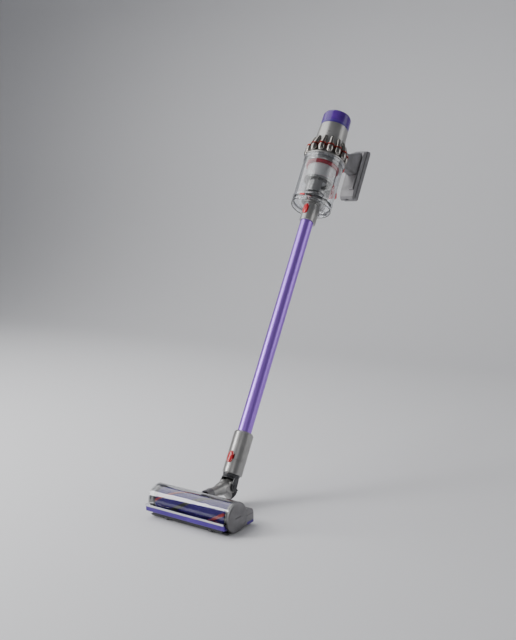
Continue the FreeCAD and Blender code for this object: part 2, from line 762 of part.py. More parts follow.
def wand():
    tube = stadium_post(d.tube_rad, d.tube_shift, 117, 784)
    room = stadium_post(d.tube_rad - d.tube_wall, d.tube_shift, 116, 800)
    node("wand_tube", cut(tube, room), STICK)
    seat = stadium_post(d.tube_rad, d.tube_shift, 117, 784)
    collar = stadium_post(d.collar_rad, d.collar_shift, d.cuff_seam + 0.4, d.wand_entry)
    soften(collar, 4.5, lambda e: all(abs(v.Z - d.wand_entry.value) < 0.01 for v in e.Vertexes), "Chamfer")
    socket = rod(d.socket_rad, 45, (0, 0, d.cuff_seam))
    duct = rod(d.duct_rad, 20, (0, 0, 105))
    mouth = button_hole(70.5, d.collar_rad, BUTTON_TURN)
    mouth_low = radial(box((-8.4, 8.4), (-d.collar_rad - 6, -d.socket_rad + 2), (60, 78)), BUTTON_TURN)
    node("wand_socket", cut(collar, socket, duct, seat, mouth, mouth_low), STICK)
    top = stadium_post(d.top_collar_rad, d.top_collar_shift, d.top_collar_low, d.flap_low - 0.6)
    soften(top, 1.6, lambda e: all(abs(v.Z - d.top_collar_low.value) < 0.01 for v in e.Vertexes))
    lead = rod(d.duct_rad, 50, (0, 0, 780))
    hole = button_hole(803, d.top_collar_rad, BUTTON_TURN)
    spigot = ring(d.duct_rad, d.spigot_rad, 786, 866)
    node("wand_top_collar", cut(fuse(cut(top, seat, lead), spigot), hole), STICK)
    node("wand_cable", rod(1.6, 662, (0, 18.2, 121)), STICK)


# ---------------------------------------------------------------- bin


def bin_pieces():
    inner = d.bin_rad - d.bin_wall
    barrel = ring(inner, d.bin_rad, d.bin_low, d.bin_top)
    node("bin_cylinder", barrel, STICK)
    collar = ring(d.bin_rad, d.bin_rad + 1.6, d.bin_top - 9, d.bin_top)
    base = ring(d.bin_rad, d.bin_rad + 1.8, d.bin_low, d.bin_low + 6)
    node("bin_rims", group(collar, base), STICK)
    barrel_room = rod(d.bin_rad, 200, (0, 0, d.bin_low - 10))
    wide_rail = box((-10, 10), (d.bin_rad - 6, d.bin_rad + 4.5), (d.bin_low + 6.2, d.bin_top - 9.2))
    rail = cut(wide_rail, barrel_room)
    lugs = []
    for x in (-15, 15):
        lug = fuse(
            rod(3.6, 8, (x - 4, d.bin_rad + 5.4, d.bin_low - 1.5), ALONG_X),
            box((x - 4, x + 4), (d.bin_rad + 1.6, d.bin_rad + 9), (d.bin_low - 1.5, d.bin_low + 5.8)),
        )
        lugs.append(cut(lug, rod(1.5, 20, (x - 10, d.bin_rad + 5.4, d.bin_low - 1.5), ALONG_X),
                        rod(d.bin_rad + 1.8, 60, (0, 0, d.bin_low - 20))))
    node("bin_rail", group(rail, *lugs), STICK)
    node("bin_hinge_pin", rod(1.5, 38, (-19, d.bin_rad + 5.4, d.bin_low - 1.5), ALONG_X), STICK)


def flap_pieces():
    rim, low = d.bin_rad, d.flap_low
    top = d.bin_low - GAP
    dish = turned(
        [
            (24, low + 2.2), (44, low + 1.2), (44, low), (46, low), (46, low + 1.2), (rim - 3, low + 1.2),
            (rim - 3, low - 7), (rim - 1, low - 8.5), (rim, low - 7), (rim, top),
            (rim - 3.6, top), (rim - 3.6, low + 3.4),
            (40, low + 3.4), (40, low + 5.6), (38.6, low + 5.6), (38.6, low + 3.6), (24, low + 4.4),
        ]
    )
    knuckle = fuse(
        rod(3.4, 20, (-10, d.bin_rad + 5.4, d.bin_low - 1.5), ALONG_X),
        box((-10, 10), (rim - 1, d.bin_rad + 5.4), (low, low + 4.6)),
    )
    pin_room = rod(1.55, 30, (-15, d.bin_rad + 5.4, d.bin_low - 1.5), ALONG_X)
    knuckle = cut(knuckle, pin_room, rod(rim, 30, (0, 0, low - 10)))
    node("bin_flap", fuse(dish, knuckle), STICK)
    socket = turned(
        [
            (d.socket_rad, low + 0.2), (24, low + 0.2), (24, low + 6), (31, low + 8), (31, 852), (29.5, 854),
            (20.5, 855), (20.5, 868), (d.socket_rad, 868),
        ]
    )
    node("inlet_socket", socket, STICK)
    node("flap_seal", ring(d.bin_rad - 5.6, d.bin_rad - 3.6, low + 3.4, low + 8), STICK)
    tooth = box((-7, 7), (-rim - 3, -rim + 0.5), (low + 1, low + 6))
    node("flap_catch", cut(tooth, rod(rim, 30, (0, 0, low - 10))), STICK)


# ---------------------------------------------------------------- cyclone body


def cyclones():
    shroud = d.shroud_rad
    duct = ring(30, 32.6, 857, d.shroud_low - 2)
    window = box((6, 40), (-18, 40), (866, 892))
    base = turned(
        [
            (24, d.shroud_low - 2), (36, d.shroud_low - 2), (shroud, d.shroud_low - 6),
            (shroud + 0.6, d.shroud_low), (24, d.shroud_low),
        ]
    )
    node("inlet_duct", fuse(cut(duct, window), base), STICK)
    node("shroud_mesh", ring(shroud - 1.2, shroud, d.shroud_low, d.shroud_top), STICK)
    node("shroud_seal", ring(shroud - 1.2, shroud + 6, d.shroud_top, d.shroud_top + 9), STICK)
    collar = turned(
        [
            (40, d.shroud_top + 9), (50, d.shroud_top + 9), (51.5, d.shroud_top + 12), (52.5, d.bin_top - 1),
            (56, d.bin_top + 1), (61, d.bin_top + 1), (61, d.bin_top + 5), (47, d.bin_top + 6), (40, d.bin_top + 6),
        ]
    )
    node("shroud_collar", collar, STICK)
    low = d.cone_low
    cone = turned(
        [
            (0, low - 14), (5.6, low - 13), (8.4, low - 8), (10.1, low - 3), (d.cone_wide, low + 1),
            (10.1, low + 6), (8.6, low + 10), (7.4, low + 12), (0, low + 12),
        ]
    )
    move(cone, (d.cone_ring, 0, 0))
    ring_cones = around(cone, 14)
    core = rod(d.body_low_rad, 60, (0, 0, d.body_low - 10))
    node("cyclone_cones", cut(ring_cones, core), STICK)
    disc = rod(11.2, 1.8, (d.cone_ring - 1.5, 0, low + 12))
    lobes = around(disc, 14)
    band = ring(d.body_low_rad + 0.4, d.cone_ring, low + 12, low + 13.8)
    trim = fuse(band, *[made(s.copy()) for s in lobes.Shape.Solids])
    node("cyclone_trim", cut(trim, rod(d.body_low_rad, 60, (0, 0, low - 10))), STICK)
    finger = fuse(
        tapered((8.6, (d.cone_ring - 1, 0, low + 13.8), 0), (7.6, (d.cone_ring - 2.5, 0, low + 22), 0),
                (5.8, (d.cone_ring - 8.6, 0, low + 41.6), 0)),
        ball(5.8, (d.cone_ring - 8.6, 0, low + 41.6)),
    )
    fingers = around(finger, 14, skip=(3, 4))  # the grip takes the place of two
    cone_wall = turned(
        [(0, d.body_low), (d.body_low_rad, d.body_low), (d.body_top_rad, d.body_top), (0, d.body_top)]
    )
    node("cyclone_fingers", cut(fingers, cone_wall), STICK)


def motor():
    wall = 2.6
    housing = turned(
        [
            (d.body_low_rad - wall, d.body_low), (d.body_low_rad, d.body_low),
            (d.body_top_rad, d.body_top - 1),
            (d.body_top_rad - 0.8, d.body_top), (d.body_top_rad - wall, d.body_top),
            (d.body_low_rad - wall, d.body_low + 60),
        ]
    )
    node("motor_housing", housing, STICK)
    mount = ring(24, d.body_low_rad - wall - 1, d.body_low + 18, d.body_low + 22)
    can = turned(
        [(20, 992), (24, 990), (24, 1052), (14, 1056), (5, 1056), (5, 1053), (13, 1052.5), (20.6, 1049)]
    )
    coils = around(box((10.5, 18.5), (-4, 4), (1012, 1038)), 4)
    node("motor_can", group(fuse(can, mount), coils), STICK)
    node("motor_rotor", fuse(rod(2, 84, (0, 0, 984)), ring(2, 9, 1010, 1040)), STICK)
    hub = turned([(2, 993), (6, 993), (15, 1003), (15, 1005), (2, 1005)])
    blades = around(box((5, 18), (-0.6, 0.6), (995, 1004.5)), 11)
    trim = turned([(0, 990), (8, 990), (18.4, 1003.4), (18.4, 1004.6), (0, 1004.6)])
    node("impeller", fuse(hub, common(trim, blades)), STICK)


def filter_unit():
    low, top, r = d.body_top, d.filter_top, d.body_top_rad
    band = turned(
        [
            (23.5, low + GAP), (r - 0.4, low + GAP), (r - 0.2, low + 9), (r - 3, low + 9), (r - 3, low + 2),
            (23.5, low + 2),
        ]
    )
    node("filter_band", band, STICK)
    cap = turned(
        [
            (r - 2.6, low + 9), (r - 0.2, low + 9), (r - 0.5, top - 7), (r - 2.2, top - 2.8),
            (r - 6.5, top - 0.5), (r - 12, top), (0, top), (0, top - 2.4), (r - 12, top - 2.4),
            (r - 7, top - 3), (r - 4, top - 5), (r - 2.9, top - 8),
        ]
    )
    node("filter_cap", cap, STICK)
    fold = box((25.5, 37.4), (-0.9, 0.9), (low + 3, top - 6))
    core = ring(23.5, 25.8, low + 2, top - 5)
    pleats = around(fold, 36)
    node("filter_pleats", fuse(core, *[made(s.copy()) for s in pleats.Shape.Solids]), STICK)


# ---------------------------------------------------------------- grip and battery


GRIP = [
    (44, 1002), (62, 1004), (100, 1012), (140, 1022), (d.battery_in + 0.1, 1027), (d.battery_in + 0.1, 1108),
    (150, 1101), (125, 1082), (102, 1064), (85, 1054), (44, 1051),
]


def grip():
    body_room = turned([(0, 960), (d.body_low_rad, d.body_low), (d.body_top_rad, d.body_top), (0, 1100)])
    trigger_room = box((-7, 7), (76 - GAP, 104 + GAP), (990, 1028))
    for label, side in (("grip_left", -1), ("grip_right", 1)):
        shell = side_plate(GRIP, d.grip_half)
        move(shell, (d.grip_half / 2 * side, 0, 0))
        outer = d.grip_half.value / 2 * side
        soften(shell, 7, lambda e: all(abs(v.X - outer) < 0.01 for v in e.Vertexes) and e.BoundBox.YMax < 158
               and e.BoundBox.YMin > 45)
        room = side_plate(
            [(66, 1012), (135, 1029), (152, 1040), (152, 1090), (104, 1056), (66, 1046)], d.grip_half - 3
        )
        move(room, ((d.grip_half - 3) / 2 * side, 0, 0))
        node(label, cut(shell, room, body_room, trigger_room), STICK)
    blade = side_plate([(76, 997), (80, 993), (100, 996), (104, 1001), (104, 1021), (76, 1019)], 13)
    soften(blade, 1.5, lambda e: e.BoundBox.ZMax < 1000 and e.BoundBox.XLength < 0.01)
    node("trigger", blade, STICK)
    switch = box((-5, 5), (112, 122), (1030, 1040))
    board = box((-11, 11), (112, 146), (1050, 1051.6))
    node("control_board", group(switch, board), STICK)
    node("mode_slider", box((-6, 6), (55, 66), (1052.9, 1057)), STICK)


def battery():
    half = d.battery_half
    split, top, low = d.battery_split, d.battery_top, d.battery_low
    inner = side_plate(
        [(d.battery_in + 0.2, low + 28), (d.battery_in + 4, low + 6), (d.battery_in + 10, low), (split, low),
         (split, top - 8), (d.battery_in + 12, top - 16), (d.battery_in + 0.2, top - 25)],
        (half - 1) * 2,
    )
    soften(inner, 1.5, lambda e: e.BoundBox.XLength < 0.01 and e.BoundBox.YMax < split.value - 0.5
           and e.BoundBox.ZMax < 960)
    outer = side_plate(
        [(split + 0.05, low + 8), (d.battery_out - 4, low + 8), (d.battery_out, low + 13),
         (d.battery_out, top - 7), (d.battery_out - 5, top), (split + 0.05, top - 7)],
        half * 2,
    )
    soften(outer, 4, lambda e: e.BoundBox.XLength < 0.01 and e.BoundBox.YMax > split.value + 1)
    cells_room = box((-half + 3.4, half - 3.4), (d.battery_in + 3, d.battery_out - 3), (low + 32, top - 32))
    node("battery_outer_shell", cut(outer, cells_room), STICK)
    strip = side_plate(
        [(d.battery_in - 5.5, low + 30), (d.battery_in - 3, low + 26), (d.battery_in + 0.2, low + 26),
         (d.battery_in + 0.2, 1024), (d.battery_in - 5.5, 1022)], 15
    )
    move(strip, (12, 0, 0))
    socket = box((-5, 5), (d.battery_in + 11, split - 2), (low - 1, low + 6))
    node("battery_inner_shell", cut(fuse(inner, strip), cells_room, socket), STICK)
    cells = []
    for i in range(6):
        middle = low + 43 + 19.2 * i
        side = 1 if i % 2 else -1
        cells.append(rod(9.2, 38, (-19, d.battery_in + 20.8 + side * 6.2, middle), ALONG_X))
    node("battery_cells", group(*cells), STICK)
    lights = [rod(1.2, 1, (x, d.battery_in + 7, top - 22 + 1.2)) for x in (-6, 0, 6)]
    node("battery_lights", group(*lights), STICK)


def runner():
    """The rail behind the bin with the red release lever."""
    node("bin_runner", side_plate([(66, 932), (72, 932), (72, 1006.1), (66, 1004.84)], 20), STICK)
    lever = side_plate([(66, 912), (74, 898), (90, 897), (98, 905), (94, 916), (80, 930.6), (66, 930.6)], 26)
    soften(lever, 2.5, lambda e: e.BoundBox.YMax > 89 and e.BoundBox.XLength < 0.01)
    node("bin_lever", lever, STICK)


head_frame()
head_cover()
head_trim()
sole_plate()
felt_strip()
wheels()
end_caps()
brush()
brush_motor()
neck_arm()
neck_bellows()
pitch_pins()
neck_cuff()
node("cuff_button", push_button(70.5, d.collar_rad, BUTTON_TURN), STICK)
wand()
node("wand_button", push_button(803, d.top_collar_rad, BUTTON_TURN), STICK)
bin_pieces()
flap_pieces()
cyclones()
motor()
filter_unit()
grip()
battery()
runner()

doc.recompute()
bad = [thing for thing in doc.Objects if "Invalid" in thing.State or "Error" in thing.State]
if bad:
    raise RuntimeError("did not recompute: " + ", ".join(thing.Label for thing in bad))
os.makedirs("parts", exist_ok=True)
for thing in NODES:
    shape = thing.Shape
    if shape.isNull() or not shape.isValid() or not shape.Solids:
        raise RuntimeError(f"{thing.Label}: bad shape")
    shape.exportStep(f"parts/{thing.Label}.step")
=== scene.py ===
"""A cordless stick vacuum's visual model, laid out as an add-on: one operator for each group of pieces."""

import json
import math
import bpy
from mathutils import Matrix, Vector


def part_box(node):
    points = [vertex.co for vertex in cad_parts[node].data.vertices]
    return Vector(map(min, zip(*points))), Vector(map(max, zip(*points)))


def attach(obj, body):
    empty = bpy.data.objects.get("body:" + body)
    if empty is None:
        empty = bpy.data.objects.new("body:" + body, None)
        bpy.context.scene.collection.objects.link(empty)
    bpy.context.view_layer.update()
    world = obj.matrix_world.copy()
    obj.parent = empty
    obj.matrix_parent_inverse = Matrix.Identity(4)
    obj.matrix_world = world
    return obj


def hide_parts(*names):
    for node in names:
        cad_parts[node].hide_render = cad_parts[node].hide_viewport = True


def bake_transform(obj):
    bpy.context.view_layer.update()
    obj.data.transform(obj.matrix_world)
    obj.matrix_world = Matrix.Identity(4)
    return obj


bl_info = {
    "name": "Cordless Stick Vacuum",
    "version": (1, 0, 0),
    "blender": (4, 5, 0),
    "location": "View3D > Sidebar > Stick Vacuum",
    "description": "Builds the visual pieces, finishes and stage of a cordless stick vacuum",
    "category": "Object",
}

import bmesh
import bpy
from mathutils import Matrix, Vector

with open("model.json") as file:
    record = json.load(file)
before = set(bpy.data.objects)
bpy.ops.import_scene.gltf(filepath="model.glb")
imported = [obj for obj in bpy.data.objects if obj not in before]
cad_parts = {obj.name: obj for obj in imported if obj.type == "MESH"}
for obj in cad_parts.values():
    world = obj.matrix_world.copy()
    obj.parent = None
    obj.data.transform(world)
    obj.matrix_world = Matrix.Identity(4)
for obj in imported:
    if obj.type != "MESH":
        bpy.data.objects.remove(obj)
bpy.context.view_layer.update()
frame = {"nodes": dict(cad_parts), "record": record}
NODES = frame["nodes"]
JOINTS = {joint["name"]: joint for joint in frame["record"]["behaviour"]["joints"]}

MM = 0.001
NO_RADIUS = 1e-6
PITCH_PIN = Vector(JOINTS["neck_pitch"]["pos_m"])
ALONG = -Vector(JOINTS["bin_slide"]["axis"])
ACROSS = Vector((1, 0, 0))
OUT = ALONG.cross(ACROSS)
STICK = Matrix((ACROSS, OUT, ALONG)).transposed().to_4x4()
STICK.translation = PITCH_PIN
BRUSH_AXIS = Vector(JOINTS["brush_spin"]["pos_m"])
END_CAP_RADIUS = 0.0365
COVER_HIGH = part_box("right_end_cap")[1][2] - END_CAP_RADIUS  # the clear cover's axis above the floor


# ------------------------------------------------------------------ small helpers


def along_head(height):
    """Axes at a height over the brush's middle: Z runs along the head, and angles from its back upwards."""
    return Matrix(((0, 0, 1, 0), (1, 0, 0, BRUSH_AXIS.y), (0, 1, 0, height), (0, 0, 0, 1)))


def linear(hex_colour, alpha=1.0):
    """A linear RGBA colour from an sRGB hex one."""
    parts = [int(hex_colour[i:i + 2], 16) / 255 for i in (1, 3, 5)]
    return [c / 12.92 if c <= 0.04045 else ((c + 0.055) / 1.055) ** 2.4 for c in parts] + [alpha]


def add_node(tree, kind, inputs=None, **settings):
    """A node of a tree, with attributes by name; an input takes a value, or a socket that is linked to it."""
    node = tree.nodes.new(kind)
    for key, value in settings.items():
        setattr(node, key, value)
    for key, value in (inputs or {}).items():
        if isinstance(value, bpy.types.NodeSocket):
            tree.links.new(value, node.inputs[key])
        else:
            node.inputs[key].default_value = value
    return node


class Recipe:
    """A Geometry Nodes tree under construction, with a named input for each of its sizes."""

    def __init__(self, name, **sizes):
        self.tree = bpy.data.node_groups.new(name, "GeometryNodeTree")
        self.sizes = {}
        self.new_socket("Geometry", "Geometry")
        for key, value in sizes.items():
            kind = "Int" if isinstance(value, int) else "Float"
            socket = self.new_socket(key.replace("_", " ").capitalize(), kind)
            self.sizes[socket.identifier] = value
        self.material = self.new_socket("Finish", "Material")
        self.new_socket("Geometry", "Geometry", "OUTPUT")
        self.given = self.tree.nodes.new("NodeGroupInput").outputs

    def new_socket(self, label, kind, side="INPUT"):
        return self.tree.interface.new_socket(label, in_out=side, socket_type="NodeSocket" + kind)

    def add(self, kind, output=0, inputs=None, **settings):
        return add_node(self.tree, kind, inputs, **settings).outputs[output]

    def math(self, operation, *values):
        return self.add("ShaderNodeMath", inputs=dict(enumerate(values)), operation=operation)

    def finish(self, geometry):
        real = self.add("GeometryNodeRealizeInstances", inputs={"Geometry": geometry})
        smooth = self.add("GeometryNodeSetShadeSmooth", inputs={"Geometry": real})
        done = self.add("GeometryNodeSetMaterial", inputs={
            "Geometry": smooth, "Material": self.given["Finish"]})
        add_node(self.tree, "NodeGroupOutput", {"Geometry": done})

    def grow(self, name, base, body, slot_name, place=None):
        """Runs the tree on a base mesh and keeps the result as a plain piece that rides on a body."""
        seed = bpy.data.objects.new(name + "_seed", base)
        bpy.context.scene.collection.objects.link(seed)
        modifier = seed.modifiers.new("grow", "NODES")
        modifier.node_group = self.tree
        for identifier, value in self.sizes.items():
            modifier[identifier] = value
        modifier[self.material.identifier] = finish_for(slot_name)
        grown = seed.evaluated_get(bpy.context.evaluated_depsgraph_get())
        mesh = bpy.data.meshes.new_from_object(grown)
        seed.modifiers.remove(modifier)
        bpy.data.objects.remove(seed)
        return add_piece(name, mesh, body, slot_name, place)


def add_piece(name, mesh, body, slot_name, place=None):
    """A finished piece: its place goes into its mesh, its slot gives its finish, and it rides on a body."""
    mesh.name = name
    if place is not None:
        mesh.transform(place)
    if not mesh.materials:
        mesh.materials.append(finish_for(slot_name))
    piece = bpy.data.objects.new(name, mesh)
    bpy.context.scene.collection.objects.link(piece)
    if body:
        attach(piece, body)
    return piece


def empty_mesh(name):
    return bpy.data.meshes.new(name)


def finished_mesh(name, shape):
    """The mesh of a bmesh with its faces turned outwards; the bmesh is freed."""
    bmesh.ops.recalc_face_normals(shape, faces=shape.faces)
    mesh = bpy.data.meshes.new(name)
    shape.to_mesh(mesh)
    shape.free()
    return mesh


def ringed_mesh(name, rings, around=40):
    """A smooth skin over (place, radius) rings; a ring of no radius closes the skin in a pole."""
    skin = bmesh.new()
    turns = [math.tau * i / around for i in range(around)]
    rows = []
    for place, radius in rings:
        if radius < NO_RADIUS:
            rows.append([skin.verts.new(place @ Vector())])
            continue
        points = [Vector((radius * math.cos(a), radius * math.sin(a), 0)) for a in turns]
        rows.append([skin.verts.new(place @ point) for point in points])
    for low, high in zip(rows, rows[1:]):
        for i in range(around):
            k = (i + 1) % around
            if len(low) == 1:
                skin.faces.new((low[0], high[k], high[i]))
            elif len(high) == 1:
                skin.faces.new((low[i], low[k], high[0]))
            else:
                skin.faces.new((low[i], low[k], high[k], high[i]))
    for face in skin.faces:
        face.smooth = True
    return finished_mesh(name, skin)


def lathe(name, profile, around=40, shift=(0, 0)):
    """A piece turned about Z from (radius, height) points in millimetres."""
    rings = [(Matrix.Translation(Vector((shift[0], shift[1], z)) * MM), r * MM) for r, z in profile]
    return ringed_mesh(name, rings, around)


def plate_mesh(name, outline, low, high):
    """A flat plate between two heights from an (x, y) outline in millimetres."""
    plate = bmesh.new()
    rows = [[plate.verts.new(Vector((x, y, z)) * MM) for x, y in outline] for z in (low, high)]
    plate.faces.new(rows[0])
    plate.faces.new(rows[1])
    count = len(outline)
    for i in range(count):
        plate.faces.new((rows[0][i], rows[0][(i + 1) % count], rows[1][(i + 1) % count], rows[1][i]))
    return finished_mesh(name, plate)


class Finish:
    """A material under construction: its tree, shader and Object coordinates in millimetres."""

    def __init__(self, name, colour, roughness, **sockets):
        self.material = bpy.data.materials.new(name)
        self.material.use_nodes = True
        self.tree = self.material.node_tree
        self.shader = self.tree.nodes["Principled BSDF"]
        self.shader.inputs["Base Color"].default_value = linear(colour)
        self.shader.inputs["Roughness"].default_value = roughness
        for key, value in sockets.items():
            self.shader.inputs[key.replace("_", " ")].default_value = value
        self.material.diffuse_color = linear(colour)
        self.normal = None

    def mottle(self, size_mm, detail=3.0, stretch=(1, 1, 1), roughness=0.55):
        """A soft random pattern whose patches are size_mm across, in the piece's own coordinates."""
        coordinates = add_node(self.tree, "ShaderNodeTexCoord").outputs["Object"]
        scale = [1000 / size_mm / s for s in stretch]
        mapped = add_node(self.tree, "ShaderNodeMapping", {"Vector": coordinates, "Scale": scale})
        return add_node(self.tree, "ShaderNodeTexNoise", {
            "Vector": mapped.outputs["Vector"], "Scale": 1.0, "Detail": detail,
            "Roughness": roughness}).outputs["Fac"]

    def vary_roughness(self, pattern, low, high):
        spread = add_node(self.tree, "ShaderNodeMapRange", {
            "Value": pattern, "From Min": 0.3, "From Max": 0.7, "To Min": low, "To Max": high})
        self.tree.links.new(spread.outputs["Result"], self.shader.inputs["Roughness"])

    def vary_colour(self, pattern, dark, light):
        ramp = add_node(self.tree, "ShaderNodeValToRGB", {"Fac": pattern})
        for element, position, colour in zip(ramp.color_ramp.elements, (0.35, 0.65), (dark, light)):
            element.position = position
            element.color = linear(colour)
        self.tree.links.new(ramp.outputs["Color"], self.shader.inputs["Base Color"])

    def relief(self, pattern, height_mm, strength=0.5):
        node = add_node(self.tree, "ShaderNodeBump", {
            "Height": pattern, "Strength": strength, "Distance": height_mm * MM})
        if self.normal:
            self.tree.links.new(self.normal, node.inputs["Normal"])
        self.normal = node.outputs["Normal"]
        self.tree.links.new(self.normal, self.shader.inputs["Normal"])


# ------------------------------------------------------------------ finishes


def moulded_plastic(name, dark, light, roughness, metallic=0.0, grain=0.25, coat=0.0):
    """Moulded ABS: fine spark-eroded grain, faint flow shading and handling smudges in the gloss."""
    finish = Finish(name, light, roughness, Metallic=metallic, Coat_Weight=coat, Coat_Roughness=0.12)
    finish.vary_colour(finish.mottle(38, 2), dark, light)
    finish.vary_roughness(finish.mottle(26, 2), roughness - 0.03, roughness + 0.05)
    finish.relief(finish.mottle(0.45, 2), 0.03, grain)
    return finish.material


def satin_silver_plastic():
    return moulded_plastic("satin_silver_plastic", "#9b9a98", "#aaa9a7", 0.3, metallic=0.7, grain=0.04)


def mid_grey_plastic():
    return moulded_plastic("mid_grey_plastic", "#6c6b6d", "#7f7e80", 0.36, metallic=0.45, grain=0.2)


def dark_grey_plastic():
    return moulded_plastic("dark_grey_plastic", "#303032", "#404043", 0.36, metallic=0.2, grain=0.2)


def purple_plastic():
    return moulded_plastic("purple_plastic", "#3f2480", "#4d2f96", 0.34, grain=0.15)


def touch_red_plastic():
    """Glossy red of everything that the user presses."""
    return moulded_plastic("touch_red_plastic", "#b80f1c", "#dd1c2b", 0.24, grain=0.06, coat=0.35)


def cyclone_chrome():
    finish = Finish("cyclone_chrome", "#98948f", 0.14, Metallic=1.0)
    finish.vary_roughness(finish.mottle(6, 4), 0.1, 0.2)
    finish.relief(finish.mottle(9, 2), 0.04, 0.15)
    return finish.material


def copper_red_metal():
    finish = Finish("copper_red_metal", "#b4483f", 0.22, Metallic=0.9)
    finish.vary_colour(finish.mottle(8, 2), "#93342f", "#c4574a")
    finish.vary_roughness(finish.mottle(3, 3), 0.18, 0.3)
    return finish.material


def anodised_purple():
    """Drawn and anodised tube: deep colour under a satin metal sheen, with long faint draw lines."""
    finish = Finish("anodised_purple", "#2a06a0", 0.38, Metallic=0.45, Specular_IOR_Level=0.25)
    lines = finish.mottle(0.5, 3, stretch=(1, 90, 160))
    finish.vary_colour(finish.mottle(60, 2), "#240590", "#3007b0")
    finish.vary_roughness(lines, 0.24, 0.36)
    finish.relief(lines, 0.01, 0.12)
    return finish.material


def clear_polycarbonate():
    """Clear moulded polycarbonate: glass-like gloss that varies a little in patches."""
    finish = Finish("clear_polycarbonate", "#f6f7f9", 0.03, Transmission_Weight=1.0, IOR=1.55)
    finish.vary_roughness(finish.mottle(22, 4), 0.015, 0.06)
    return finish.material


def purple_polycarbonate():
    """Tinted clear cap with a softly frosted inside."""
    finish = Finish("purple_polycarbonate", "#6a35b0", 0.16, Transmission_Weight=0.4, IOR=1.45)
    finish.vary_colour(finish.mottle(30, 2), "#5b2ca2", "#7440bb")
    finish.vary_roughness(finish.mottle(14, 3), 0.14, 0.24)
    return finish.material


def seal_red_rubber():
    finish = Finish("seal_red_rubber", "#b01f35", 0.5)
    finish.vary_colour(finish.mottle(6, 3), "#94152b", "#bd2a41")
    finish.relief(finish.mottle(0.6, 2), 0.03, 0.3)
    return finish.material


def black_rubber():
    finish = Finish("black_rubber", "#1c1c1e", 0.4)
    finish.vary_colour(finish.mottle(5, 3), "#101011", "#222224")
    finish.vary_roughness(finish.mottle(8, 3), 0.36, 0.46)
    finish.relief(finish.mottle(0.4, 2), 0.02, 0.2)
    return finish.material


def shroud_steel():
    finish = Finish("shroud_steel", "#f1f1f0", 0.38, Metallic=0.25)
    finish.vary_roughness(finish.mottle(4, 3), 0.3, 0.42)
    finish.relief(finish.mottle(0.8, 2, stretch=(1, 1, 8)), 0.02, 0.2)
    return finish.material


def bright_steel():
    finish = Finish("bright_steel", "#b9b9b9", 0.25, Metallic=1.0)
    finish.vary_roughness(finish.mottle(0.6, 3, stretch=(30, 1, 1)), 0.2, 0.34)
    return finish.material


def silver_strip():
    finish = Finish("silver_strip", "#dedfe2", 0.18, Metallic=0.4, Coat_Weight=0.4)
    finish.vary_roughness(finish.mottle(12, 3), 0.14, 0.26)
    return finish.material


def woven_pile(name, dark, light, sheen):
    """Dense soft pile: short fibres that lie in patches, with a pale sheen where they catch the light."""
    finish = Finish(name, light, 0.85, Sheen_Weight=sheen, Sheen_Roughness=0.35, Sheen_Tint=linear("#c9b8ff"))
    finish.vary_colour(finish.mottle(1.1, 4), dark, light)
    finish.relief(finish.mottle(7, 3), 0.5, 0.35)
    finish.relief(finish.mottle(0.5, 3), 0.35, 0.8)
    return finish.material


def purple_pile():
    return woven_pile("purple_pile", "#2e1a78", "#46299c", 0.5)


def red_nylon():
    finish = Finish("red_nylon", "#d9202f", 0.45, Sheen_Weight=0.3)
    finish.vary_colour(finish.mottle(0.9, 3), "#a9121f", "#ee3440")
    return finish.material


def carbon_filament():
    finish = Finish("carbon_filament", "#23221d", 0.5, Sheen_Weight=0.4)
    finish.vary_colour(finish.mottle(0.8, 3), "#12120f", "#3a392f")
    return finish.material


def black_felt():
    return woven_pile("black_felt", "#101012", "#232326", 0.4)


def pleated_cloth():
    """Washable filter cloth, tinted to match its cap."""
    finish = Finish("pleated_cloth", "#6d3fb4", 0.85, Sheen_Weight=0.3)
    finish.vary_colour(finish.mottle(2, 4), "#5f36a4", "#7c4fc4")
    finish.relief(finish.mottle(0.7, 3), 0.08, 0.4)
    return finish.material


def cell_sleeve():
    return moulded_plastic("cell_sleeve", "#2f6f4b", "#418a61", 0.3, grain=0.02)


def circuit_board():
    finish = Finish("circuit_board", "#1c5a37", 0.4)
    finish.vary_colour(finish.mottle(1.6, 1, stretch=(6, 1, 1)), "#14452a", "#2b7a4a")
    return finish.material


def light_lens():
    return Finish("light_lens", "#e6f0fa", 0.15, Transmission_Weight=0.3, Coat_Weight=0.5).material


def motor_copper():
    finish = Finish("motor_copper", "#9c6238", 0.35, Metallic=0.8)
    finish.relief(finish.mottle(0.6, 1, stretch=(8, 1, 1)), 0.2, 0.7)
    return finish.material


FINISHES = {
    "abs_satin_grey": satin_silver_plastic, "abs_mid_grey": mid_grey_plastic,
    "abs_dark_grey": dark_grey_plastic, "chrome_cyclone": cyclone_chrome, "copper_red_trim": copper_red_metal,
    "anodised_purple": anodised_purple, "clear_plastic": clear_polycarbonate,
    "purple_clear": purple_polycarbonate, "purple_solid": purple_plastic, "red_plastic": touch_red_plastic,
    "red_rubber": seal_red_rubber, "black_rubber": black_rubber, "mesh_steel": shroud_steel,
    "bright_steel": bright_steel, "lip_silver": silver_strip, "plush_purple": purple_pile,
    "bristle_red": red_nylon, "carbon_black": carbon_filament, "felt_black": black_felt,
    "purple_pleat": pleated_cloth, "cell_green": cell_sleeve, "board_green": circuit_board,
    "light_white": light_lens, "copper_coils": motor_copper,
}


def finish_for(slot_name):
    """The material of one of the record's slots: one that has its maker's name, or else a new one."""
    # The frame's own materials are already called anodised_purple, black_rubber and bright_steel, so
    # those three slots show the frame's plain material and their makers never run.
    maker = FINISHES[slot_name]
    return bpy.data.materials.get(maker.__name__) or maker()


# ------------------------------------------------------------------ stage


PAPER = "#e9e9eb"
SENSOR_WIDTH = 36  # in millimetres


